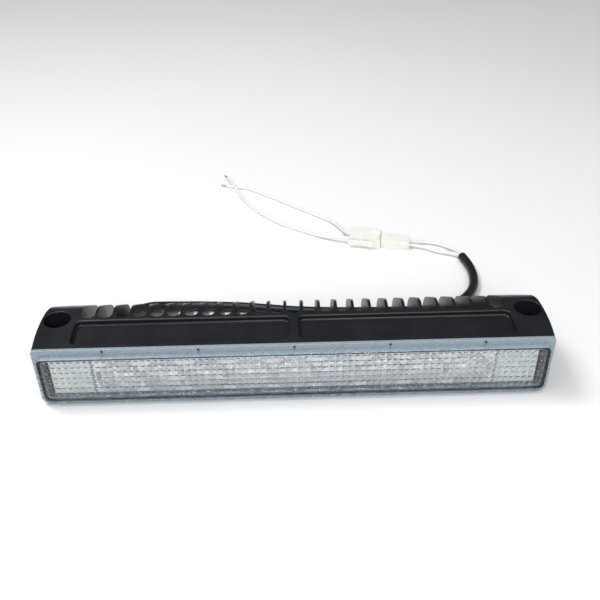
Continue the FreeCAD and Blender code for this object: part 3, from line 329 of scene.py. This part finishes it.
def pillow(offset, pitch, count):
    """Height profile across one pillow, from 0 at its edges to 1 in its middle."""
    if abs(offset) > pitch * count / 2:
        return 0.0
    along = ((offset / pitch + count / 2) % 1.0) * 2.0 - 1.0
    return max(0.0, 1.0 - along * along)


def round_corner(x, z, half_x, half_z, radii):
    """Moves a point near a square corner in to where the rounded corner puts it."""
    r = radii[0] if z > 0 else radii[1]
    dx, dz = abs(x) - (half_x - r), abs(z) - (half_z - r)
    if r <= 0 or dx <= 0 or dz <= 0:
        return x, z
    shrink = max(dx, dz) / math.hypot(dx, dz)
    return math.copysign(half_x - r + dx * shrink, x), math.copysign(half_z - r + dz * shrink, z)


def grown(outline, amount):
    """The outline moved outward by an amount, or inward by a negative one."""
    half, low, high = outline
    return half + amount, low - amount, high + amount


def build_lens():
    mesh = bmesh.new()
    half_x = HOLLOW[0]
    middle = (HOLLOW[1] + HOLLOW[2]) / 2
    half_z = (HOLLOW[2] - HOLLOW[1]) / 2
    columns = grid_lines(half_x, PILLOW_WIDE, PILLOW_COLUMNS)
    rows = grid_lines(half_z, PILLOW_HIGH, PILLOW_ROWS)
    grid = []
    for x, _ in columns:
        line = []
        for z, _ in rows:
            rise = pillow(x, PILLOW_WIDE, PILLOW_COLUMNS) * pillow(z, PILLOW_HIGH, PILLOW_ROWS)
            px, pz = round_corner(x, z, half_x, half_z, HOLLOW_ROUNDS)
            line.append(mesh.verts.new((px, INNER_Y + PILLOW_DEPTH * rise, middle + pz)))
        grid.append(line)
    last_x, last_z = len(columns) - 1, len(rows) - 1
    for i in range(last_x):
        for j in range(last_z):
            mesh.faces.new((grid[i][j], grid[i][j + 1], grid[i + 1][j + 1], grid[i + 1][j]))
    for i in range(last_x + 1):
        for j in range(last_z):
            if columns[i][1]:
                mesh.edges.get((grid[i][j], grid[i][j + 1])).smooth = False
    for i in range(last_x):
        for j in range(last_z + 1):
            if rows[j][1]:
                mesh.edges.get((grid[i][j], grid[i + 1][j])).smooth = False

    places = [(i, 0) for i in range(last_x)] + [(last_x, j) for j in range(last_z)]
    places += [(i, last_z) for i in range(last_x, 0, -1)] + [(0, j) for j in range(last_z, 0, -1)]
    border = [grid[i][j] for i, j in places]
    shares = [(columns[i][0] / half_x, rows[j][0] / half_z) for i, j in places]

    def ring(half, low, high, radii, y):
        centre, reach = (low + high) / 2, (high - low) / 2
        verts = []
        for across, up in shares:
            x, z = round_corner(across * half, up * reach, half, reach, radii)
            verts.append(mesh.verts.new((x, y, centre + z)))
        return verts

    def band(first, second, index, crease=False):
        count = len(first)
        for place in range(count):
            after = (place + 1) % count
            face = mesh.faces.new((first[place], first[after], second[after], second[place]))
            face.material_index = index
        if crease:
            for place in range(count):
                mesh.edges.get((second[place], second[(place + 1) % count])).smooth = False

    for place in range(len(border)):
        mesh.edges.get((border[place], border[(place + 1) % len(border)])).smooth = False
    rim = ring(*HOLLOW, HOLLOW_ROUNDS, FRONT_Y)
    band(border, rim, 1, crease=True)
    back = ring(*FLANGE, FLANGE_ROUNDS, FRONT_Y)
    band(rim, back, 1, crease=True)

    def flange_ring(inset, y):
        radii = [radius - inset for radius in FLANGE_ROUNDS]
        return ring(*grown(FLANGE, -inset), radii, y)

    def window_ring(grow, y):
        return ring(*grown(WINDOW, grow), (WINDOW_ROUND + grow, WINDOW_ROUND + grow), y)

    steps = [flange_ring(0.0, FLANGE_Y + FLANGE_EDGE)]
    for turn in (30.0, 60.0, 90.0):
        inset = FLANGE_EDGE * (1 - math.cos(math.radians(turn)))
        out = FLANGE_EDGE * math.sin(math.radians(turn))
        steps.append(flange_ring(inset, FLANGE_Y + FLANGE_EDGE - out))
    steps.append(flange_ring(FLANGE_EDGE + FLANGE_LIP, FLANGE_Y))
    # The foot's outer ring keeps its corners at the foot's own radius.
    outer_round = WINDOW_ROUND + WINDOW_FOOT
    steps.append(ring(*grown(WINDOW, WINDOW_FOOT + FLANGE_LIP), (outer_round, outer_round), FLANGE_Y))
    for turn in (0.0, 45.0, 90.0):
        grow = WINDOW_FOOT * (1 - math.sin(math.radians(turn)))
        rise = WINDOW_FOOT * (1 - math.cos(math.radians(turn)))
        steps.append(window_ring(grow, FLANGE_Y - rise))
    previous = back
    for step in steps:
        band(previous, step, 1)
        previous = step
    steps = []
    for turn in (0.0, 22.5, 45.0, 67.5, 90.0):
        inset = WINDOW_BROW * (1 - math.cos(math.radians(turn)))
        out = WINDOW_BROW * math.sin(math.radians(turn))
        steps.append(window_ring(-inset, WINDOW_Y + WINDOW_BROW - out))
    steps.append(window_ring(-(WINDOW_BROW + BROW_LIP), WINDOW_Y))
    # The first bands of the brow take the frosted material: the painted highlight line along the window's
    # edge.
    for place, step in enumerate(steps):
        band(previous, step, 1 if place < PAINTED_HIGHLIGHT_BROW_RINGS else 0)
        previous = step
    mesh.faces.new(previous)

    for count in range(-2, 3):
        for low, high in (UPPER_RIB, LOWER_RIB):
            add_rib(mesh, RIB_PITCH * count, low, high)
        add_pip(mesh, RIB_PITCH * count, PIP_Z)
    bmesh.ops.recalc_face_normals(mesh, faces=mesh.faces)
    return mesh


def add_rib(mesh, x, low, high):
    """A half-round rib across the flange, with rounded ends."""
    half, rise, turns = 0.45 * MM, 0.6 * MM, 8
    loops = []
    for z, size in ((low, 0.3), (low + 0.3 * MM, 1.0), (high - 0.3 * MM, 1.0), (high, 0.3)):
        loop = []
        for step in range(turns):
            turn = math.tau * step / turns
            loop.append(mesh.verts.new((x + half * size * math.cos(turn),
                                        FLANGE_Y + rise * size * math.sin(turn), z)))
        loops.append(loop)
    for first, second in zip(loops, loops[1:]):
        for step in range(turns):
            after = (step + 1) % turns
            mesh.faces.new((first[step], first[after], second[after], second[step]))
    for loop in (loops[0], loops[-1]):
        mesh.faces.new(loop)


def add_pip(mesh, x, z):
    """The small dark pip at the upper end of a rib."""
    made = bmesh.ops.create_icosphere(mesh, subdivisions=2, radius=0.75 * MM)
    for vert in made["verts"]:
        vert.co.y *= 0.9
        vert.co += Vector((x, FLANGE_Y, z))
    for face in {face for vert in made["verts"] for face in vert.link_faces}:
        face.material_index = 2


lens = finish_mesh("prism_lens", build_lens(), "bar",
                   ("clear_lens", "frosted_rim", "black_rubber"))
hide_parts("lens_cover")


# The reflector: nine round parabolic cups in one bright moulding.

CUP_PITCH, CUP_MOUTH, CUP_THROAT = 25.6 * MM, 12.6 * MM, 3.6 * MM
CUP_COUNT = 9
REFLECTOR_LOW, REFLECTOR_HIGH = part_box("reflector")
LIGHT_Z = (REFLECTOR_LOW[2] + REFLECTOR_HIGH[2]) / 2


def build_reflector():
    mesh = bmesh.new()
    front, back = REFLECTOR_LOW[1], REFLECTOR_HIGH[1]
    turns, levels = 64, 14
    half_z = REFLECTOR_HIGH[2] - LIGHT_Z
    for cup in range(CUP_COUNT):
        centre = CUP_PITCH * (cup - (CUP_COUNT - 1) / 2)
        rings = []
        for level in range(levels + 1):
            radius = CUP_THROAT + (CUP_MOUTH - CUP_THROAT) * level / levels
            share = (radius ** 2 - CUP_THROAT ** 2) / (CUP_MOUTH ** 2 - CUP_THROAT ** 2)
            rings.append((radius, back + (front + 0.4 * MM - back) * share))
        rings.append((CUP_MOUTH + 0.06 * MM, front + 0.12 * MM))
        rings.append((CUP_MOUTH + 0.14 * MM, front))
        loops = []
        for radius, y in rings:
            loops.append([
                mesh.verts.new((centre + radius * math.cos(math.tau * step / turns), y,
                                LIGHT_Z + radius * math.sin(math.tau * step / turns)))
                for step in range(turns)
            ])
        edge = []
        left_end = REFLECTOR_LOW[0] - centre if cup == 0 else -CUP_PITCH / 2
        right_end = REFLECTOR_HIGH[0] - centre if cup == CUP_COUNT - 1 else CUP_PITCH / 2
        for step in range(turns):
            across, up = math.cos(math.tau * step / turns), math.sin(math.tau * step / turns)
            side = right_end if across > 0 else -left_end
            reach = min(side / max(abs(across), 1e-6), half_z / max(abs(up), 1e-6))
            edge.append(mesh.verts.new((centre + across * reach, front, LIGHT_Z + up * reach)))
        loops.append(edge)
        skirt = [mesh.verts.new((vert.co.x, back, vert.co.z)) for vert in edge]
        loops.append(skirt)
        for first, second in zip(loops, loops[1:]):
            for step in range(turns):
                after = (step + 1) % turns
                mesh.faces.new((first[step], first[after], second[after], second[step]))
    bmesh.ops.recalc_face_normals(mesh, faces=mesh.faces)
    sharpen(mesh, 40.0)
    return mesh


reflector = finish_mesh("reflector_cups", build_reflector(), "bar",
                        ("reflector_metal",))
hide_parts("reflector")


# The cable and the wires

CABLE_ROUTE = [
    (-0.103, 0.016, 0.0125), (-0.103, 0.0375, 0.0122), (-0.1003, 0.0454, 0.0103),
    (-0.0951, 0.0517, 0.0072), (-0.0879, 0.0555, 0.0045), (-0.0788, 0.0568, 0.0033),
    (-0.0645, 0.0564, 0.00325), (-0.048, 0.0552, 0.00325), (-0.032, 0.0536, 0.00325),
    (-0.016, 0.0508, 0.00325), (0.001, 0.0478, 0.00325),
    (0.026, 0.0456, 0.00325), (0.052, 0.0446, 0.00325), (0.076, 0.0444, 0.00325),
    (0.0946, 0.0454, 0.00325), (0.1058, 0.0482, 0.00325), (0.1156, 0.0536, 0.00325),
    (0.1234, 0.0612, 0.00325), (0.1288, 0.0708, 0.00325), (0.1314, 0.0816, 0.00325),
    (0.1319, 0.0926, 0.00325), (0.1307, 0.103, 0.00325), (0.1284, 0.1116, 0.00325),
]
LEAD_FAR_ROUTE = [
    (0.12957, 0.11205, 0.00325), (0.1276, 0.1174, 0.0031), (0.1234, 0.1236, 0.0026),
    (0.117, 0.13, 0.002), (0.1104, 0.1342, 0.0016), (0.1042, 0.1356, 0.0018),
    (0.0984, 0.135, 0.0024), (0.09181, 0.13489, 0.003),
]
LEAD_NEAR_ROUTE = [
    (0.12719, 0.1117, 0.00325), (0.1249, 0.115, 0.0031), (0.1202, 0.1178, 0.0026),
    (0.1136, 0.1202, 0.002), (0.1078, 0.1238, 0.0016), (0.1024, 0.1278, 0.0018),
    (0.0972, 0.1296, 0.0024), (0.09082, 0.1302, 0.003),
]
TAIL_NEAR_ROUTE = [
    (0.04707, 0.13888, 0.005), (0.0396, 0.1408, 0.0044), (0.031, 0.1442, 0.0026),
    (0.0216, 0.1496, 0.0015), (0.0116, 0.1566, 0.00125), (0.001, 0.1636, 0.00125),
    (-0.0096, 0.1716, 0.00125), (-0.0202, 0.1832, 0.00125), (-0.0314, 0.1978, 0.00125),
    (-0.0402, 0.2134, 0.002), (-0.0458, 0.228, 0.0036), (-0.0502, 0.241, 0.0041),
    (-0.0544, 0.25, 0.0032),
]
TAIL_FAR_ROUTE = [
    (0.04831, 0.14475, 0.005), (0.0432, 0.1483, 0.0048), (0.0409, 0.1546, 0.004),
    (0.0378, 0.1646, 0.0025), (0.031, 0.1744, 0.0014), (0.0208, 0.1838, 0.00125),
    (0.0062, 0.1968, 0.00125), (-0.0094, 0.2106, 0.00125), (-0.0226, 0.2222, 0.00125),
    (-0.0324, 0.2304, 0.00125), (-0.0406, 0.235, 0.00125), (-0.0476, 0.2356, 0.00125),
    (-0.0542, 0.2386, 0.00125),
]


def cord_curve(name, route, diameter, material, body, replaced):
    curve = bpy.data.curves.new(name, "CURVE")
    curve.dimensions = "3D"
    curve.bevel_depth = diameter / 2
    curve.bevel_resolution = 6
    curve.resolution_u = 12
    curve.use_fill_caps = True
    spline = curve.splines.new("NURBS")
    spline.points.add(len(route) - 1)
    for point, place in zip(spline.points, route):
        point.co = (*place, 1.0)
    spline.order_u = 3
    spline.use_endpoint_u = True
    curve.materials.append(MATERIALS[material])
    item = bpy.data.objects.new(name, curve)
    bpy.context.scene.collection.objects.link(item)
    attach(item, body)
    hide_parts(replaced)
    return item


STRANDS, STRAND_POINTS = 7, 9
TIP_LENGTH = 6.0 * MM
TIP_TURNS = 0.45


def strand_tips():
    """Twisted tinned strands at each bare wire end: the last one straight, the others round it."""
    curve = bpy.data.curves.new("tinned_strands", "CURVE")
    curve.dimensions = "3D"
    curve.bevel_depth = 0.27 * MM
    curve.bevel_resolution = 2
    curve.use_fill_caps = True
    for route in (TAIL_NEAR_ROUTE, TAIL_FAR_ROUTE):
        before, end = Vector(route[-2]), Vector(route[-1])
        along = (end - before).normalized()
        side = along.orthogonal().normalized()
        other = along.cross(side)
        for strand in range(STRANDS):
            centre = strand == STRANDS - 1
            spline = curve.splines.new("NURBS")
            spline.points.add(STRAND_POINTS - 1)
            for step, point in enumerate(spline.points):
                share = step / (STRAND_POINTS - 1)
                turn = math.tau * (strand / (STRANDS - 1) + TIP_TURNS * share)
                reach = 0.0 if centre else (0.55 + 0.05 * math.sin(5 * strand)) * MM
                length = TIP_LENGTH * share * (1.0 - 0.04 * (strand % 3))
                outward = side * math.cos(turn) + other * math.sin(turn)
                place = end + along * length + outward * reach
                point.co = (*place, 1.0)
            spline.order_u = 3
            spline.use_endpoint_u = True
    curve.materials.append(MATERIALS["tinned"])
    item = bpy.data.objects.new("tinned_strands", curve)
    bpy.context.scene.collection.objects.link(item)
    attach(item, "mating_half")
    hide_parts("wire_tips")
    return item


strands = strand_tips()
cable = cord_curve("black_cable", CABLE_ROUTE, 6.4 * MM, "cable_black", "bar", "cable_jacket")
lead_far = cord_curve("lead_far", LEAD_FAR_ROUTE, 2.4 * MM, "wire_white", "bar", "lead_wire_far")
lead_near = cord_curve("lead_near", LEAD_NEAR_ROUTE, 2.4 * MM, "wire_white", "bar", "lead_wire_near")
tail_near = cord_curve("tail_near", TAIL_NEAR_ROUTE, 2.4 * MM, "wire_white", "mating_half",
                       "tail_wire_near")
tail_far = cord_curve("tail_far", TAIL_FAR_ROUTE, 2.4 * MM, "wire_white", "mating_half",
                      "tail_wire_far")


# Floor, light and camera

FLOOR_HALF = 3.0
FLOOR_DROP = 0.2 * MM

CAMERA_PLACE = (-0.00270, -0.38047, 0.31929)
CAMERA_HEADING, CAMERA_DOWN, CAMERA_ROLL = -1.033, 35.642, -0.841


def add_floor():
    mesh = bmesh.new()
    bmesh.ops.create_grid(mesh, x_segments=8, y_segments=8, size=FLOOR_HALF)
    data = bpy.data.meshes.new("floor")
    mesh.to_mesh(data)
    mesh.free()
    data.materials.append(simple("floor_white", (0.86, 0.86, 0.86), (0.88, 0.88, 0.88), (0.85, 0.95),
                                 tone_scale=3.0, grain=200.0, strength=0.05))
    item = bpy.data.objects.new("floor", data)
    item.location = (0.0, 0.0, -FLOOR_DROP)
    bpy.context.scene.collection.objects.link(item)


def add_area(name, place, target, size, power):
    data = bpy.data.lights.new(name, "AREA")
    data.shape = "RECTANGLE"
    data.size, data.size_y = size
    data.energy = power
    item = bpy.data.objects.new(name, data)
    item.location = place
    toward = Vector(target) - Vector(place)
    item.rotation_euler = toward.to_track_quat("-Z", "Y").to_euler()
    bpy.context.scene.collection.objects.link(item)


def add_world():
    """Bright overhead and in front, dim low down behind the bar."""
    world = bpy.data.worlds.new("studio")
    world.use_nodes = True
    tree = world.node_tree
    background = tree.nodes["Background"]
    source = tree.nodes.new("ShaderNodeTexCoord")
    toward = tree.nodes.new("ShaderNodeVectorMath")
    toward.operation = "DOT_PRODUCT"
    toward.inputs[1].default_value = (0.0, -0.75, 0.66)
    tree.links.new(source.outputs["Generated"], toward.inputs[0])
    level = tree.nodes.new("ShaderNodeMapRange")
    level.interpolation_type = "SMOOTHSTEP"
    level.inputs["From Min"].default_value = -0.25
    level.inputs["From Max"].default_value = 0.65
    level.inputs["To Min"].default_value = 0.05
    level.inputs["To Max"].default_value = 0.62
    tree.links.new(toward.outputs["Value"], level.inputs["Value"])
    tree.links.new(level.outputs["Result"], background.inputs["Strength"])
    background.inputs["Color"].default_value = (0.97, 0.985, 1.0, 1.0)
    bpy.context.scene.world = world


def add_camera():
    data = bpy.data.cameras.new("camera")
    data.sensor_width = 36.0
    data.lens = 46.72
    item = bpy.data.objects.new("camera", data)
    bpy.context.scene.collection.objects.link(item)
    item.matrix_world = (
        Matrix.Translation(CAMERA_PLACE)
        @ Matrix.Rotation(math.radians(CAMERA_HEADING), 4, "Z")
        @ Matrix.Rotation(math.radians(90.0 - CAMERA_DOWN), 4, "X")
        @ Matrix.Rotation(math.radians(CAMERA_ROLL), 4, "Z")
    )
    bpy.context.scene.camera = item


add_floor()
add_world()
add_area("key", (-0.45, 0.15, 0.95), (0.0, 0.05, 0.0), (0.35, 0.35), 5.5)
add_area("strip", (0.0, -0.22, 0.80), (0.0, 0.0, 0.02), (1.2, 0.08), 2.0)
add_area("front", (0.1, -0.9, 0.55), (0.0, 0.0, 0.02), (0.45, 0.25), 4.0)
add_camera()
bpy.context.scene.view_settings.view_transform = "Standard"
